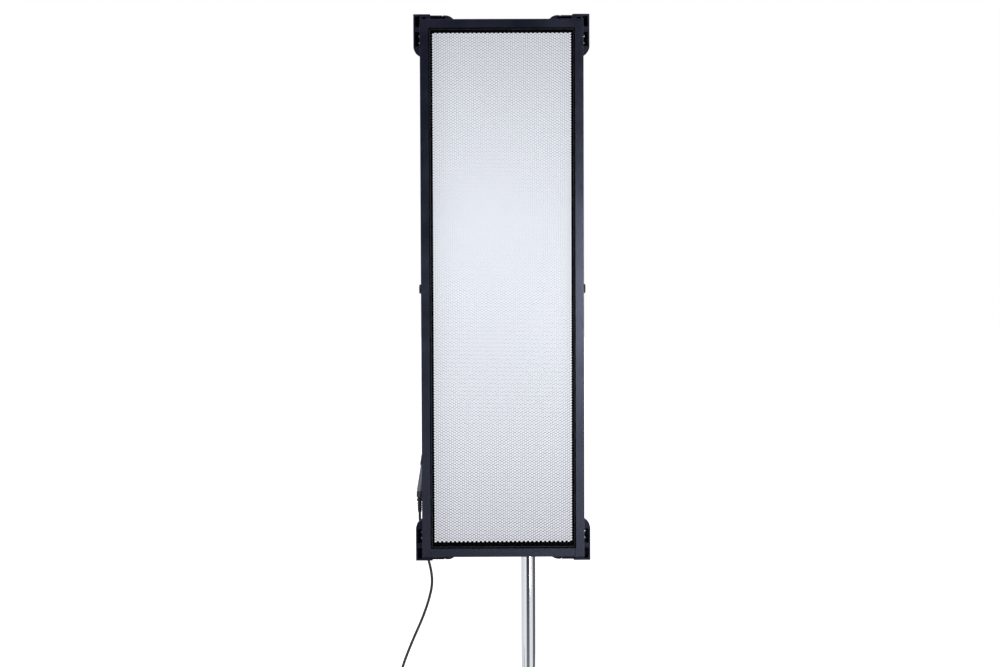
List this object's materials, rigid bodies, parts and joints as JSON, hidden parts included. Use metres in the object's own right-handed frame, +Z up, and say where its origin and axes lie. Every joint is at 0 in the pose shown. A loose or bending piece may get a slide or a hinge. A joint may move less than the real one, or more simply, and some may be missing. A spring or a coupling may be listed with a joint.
{
  "type": "led soft light panel",
  "caption": "Tall rectangular LED soft light panel with honeycomb louver, corner protectors, rear controller, power lead, tilting grip head and telescopic chrome column.",
  "frame": {"origin": "on the column's axis, at the shoulder of the foot pin", "axes": "+Z up along the column, -Y is the way the light faces, +X to the right seen from the front"},
  "size_m": [0.4719, 0.251, 1.7275],
  "materials": {
    "frame_black": "satin black powder coat",
    "casing_black": "matt black powder coat",
    "matt_black": "dead matt black",
    "bare_aluminium": "milled",
    "machined_aluminium": "turned and clear anodised",
    "black_steel": "black oxide",
    "zinc_screws": "zinc plated",
    "boss_black": "black anodised",
    "bracket_black": "fine textured black moulding",
    "handle_black": "satin black",
    "opal_diffuser": "opal acrylic, lit from behind",
    "white_reflector": "white",
    "led_boards": "white solder mask",
    "circuit_board": "green solder mask",
    "supply_case": "folded zinc sheet",
    "display_glass": "smoked clear acrylic",
    "knob_plastic": "moulded",
    "button_rubber": "silicone",
    "rocker_plastic": "moulded",
    "socket_metal": "nickel plated",
    "connector_grey": "satin nickel",
    "connector_black": "moulded",
    "boot_rubber": "moulded",
    "cord_black": "smooth jacket",
    "tie_fabric": "hook and loop tape",
    "louver_black": "matt black anodised",
    "louver_foil": "black coated foil honeycomb",
    "cast_clamp": "cast, satin",
    "plated_steel": "nickel plated",
    "chrome_tube": "polished chrome plate"
  },
  "bodies": {
    "panel": {"frame_stiles": "frame_black", "frame_rails": "frame_black", "frame_corner_keys": "bare_aluminium", "frame_screws": "black_steel", "body_side_walls": "casing_black", "body_end_walls": "casing_black", "back_panel": "casing_black", "panel_screws": "zinc_screws", "side_bosses": "boss_black", "diffuser_retainer": "matt_black", "diffuser_sheet": "opal_diffuser", "reflector_walls": "white_reflector", "led_boards": "led_boards", "heatsink_plate": "bare_aluminium", "corner_bracket_top_left": "bracket_black", "corner_bracket_top_right": "bracket_black", "corner_bracket_bottom_left": "bracket_black", "corner_bracket_bottom_right": "bracket_black", "carry_handle_upper": "handle_black", "carry_handle_lower": "handle_black", "mount_plate": "casing_black", "mount_screws": "black_steel", "mount_receiver": "machined_aluminium", "controller_housing": "casing_black", "controller_lid": "casing_black", "control_board": "circuit_board", "power_supply": "supply_case", "display_window": "display_glass", "encoder_pair": "plated_steel", "dmx_sockets": "socket_metal", "lead_inlet": "socket_metal", "lead_connector": "connector_grey", "connector_collar": "connector_black", "cable_boot": "boot_rubber", "lead_cord": "cord_black", "lead_coil": "cord_black", "coil_tie": "tie_fabric", "lead_tail": "cord_black", "lead_end_connector": "connector_black"},
    "louver": {"louver_border": "louver_black", "louver_core": "louver_foil"},
    "dim_knob": {"dim_knob": "knob_plastic"},
    "cct_knob": {"cct_knob": "knob_plastic"},
    "menu_button": {"menu_button": "button_rubber"},
    "mode_button": {"mode_button": "button_rubber"},
    "preset_button": {"preset_button": "button_rubber"},
    "power_rocker": {"power_rocker": "rocker_plastic"},
    "mount_lock": {"mount_lock_knob": "knob_plastic"},
    "tilt_clamp": {"mount_stud": "plated_steel", "clamp_plate_inner": "cast_clamp", "clamp_plate_outer": "cast_clamp"},
    "tilt_handle": {"tilt_handle": "plated_steel"},
    "head": {"head_body": "cast_clamp"},
    "head_lock": {"head_lock_handle": "plated_steel"},
    "riser": {"riser_tube": "chrome_tube"},
    "column": {"column_tube": "chrome_tube", "column_collar": "cast_clamp", "foot_spigot": "plated_steel"},
    "collar_lock": {"collar_lock_knob": "knob_plastic"}
  },
  "joints": [
    {"name": "riser_slide", "type": "slide", "parent": "column", "child": "riser", "axis": [0, 0, 1], "range_m": [0, 0.45]},
    {"name": "collar_lock_turn", "type": "hinge", "parent": "column", "child": "collar_lock", "pos_m": [0, 0.04, 0.885], "axis": [0, 1, 0], "range_deg": [-180, 0]},
    {"name": "head_pan", "type": "hinge", "parent": "riser", "child": "head", "pos_m": [0, 0, 0.95], "axis": [0, 0, 1], "continuous": true},
    {"name": "head_lock_turn", "type": "hinge", "parent": "head", "child": "head_lock", "pos_m": [0, 0.03, 0.958], "axis": [0, 1, 0], "range_deg": [-180, 0]},
    {"name": "head_tilt", "type": "hinge", "parent": "head", "child": "tilt_clamp", "pos_m": [-0.05, 0, 0.978], "axis": [-1, 0, 0], "range_deg": [-5, 90]},
    {"name": "tilt_handle_turn", "type": "hinge", "parent": "tilt_clamp", "child": "tilt_handle", "pos_m": [-0.09, 0, 0.978], "axis": [-1, 0, 0], "range_deg": [0, 180]},
    {"name": "panel_roll", "type": "hinge", "parent": "tilt_clamp", "child": "panel", "pos_m": [-0.0625, -0.09, 1], "axis": [0, -1, 0], "range_deg": [-90, 90]},
    {"name": "mount_lock_pull", "type": "slide", "parent": "panel", "child": "mount_lock", "axis": [0, 0, 1], "range_m": [0, 0.004], "stiffness_N_per_m": 1500, "springref_m": -0.002},
    {"name": "louver_pull", "type": "slide", "parent": "panel", "child": "louver", "axis": [0, -1, 0], "range_m": [0, 0.06]},
    {"name": "dim_turn", "type": "hinge", "parent": "panel", "child": "dim_knob", "pos_m": [-0.1825, -0.075, 0.7], "axis": [0, 1, 0], "continuous": true},
    {"name": "cct_turn", "type": "hinge", "parent": "panel", "child": "cct_knob", "pos_m": [-0.0925, -0.075, 0.7], "axis": [0, 1, 0], "continuous": true},
    {"name": "menu_press", "type": "slide", "parent": "panel", "child": "menu_button", "axis": [0, -1, 0], "range_m": [0, 0.0015], "stiffness_N_per_m": 500, "springref_m": -0.0005},
    {"name": "mode_press", "type": "slide", "parent": "panel", "child": "mode_button", "axis": [0, -1, 0], "range_m": [0, 0.0015], "stiffness_N_per_m": 500, "springref_m": -0.0005},
    {"name": "preset_press", "type": "slide", "parent": "panel", "child": "preset_button", "axis": [0, -1, 0], "range_m": [0, 0.0015], "stiffness_N_per_m": 500, "springref_m": -0.0005},
    {"name": "power_rock", "type": "hinge", "parent": "panel", "child": "power_rocker", "pos_m": [0.0375, -0.0785, 0.81], "axis": [-1, 0, 0], "range_deg": [0, 14]}
  ]
}
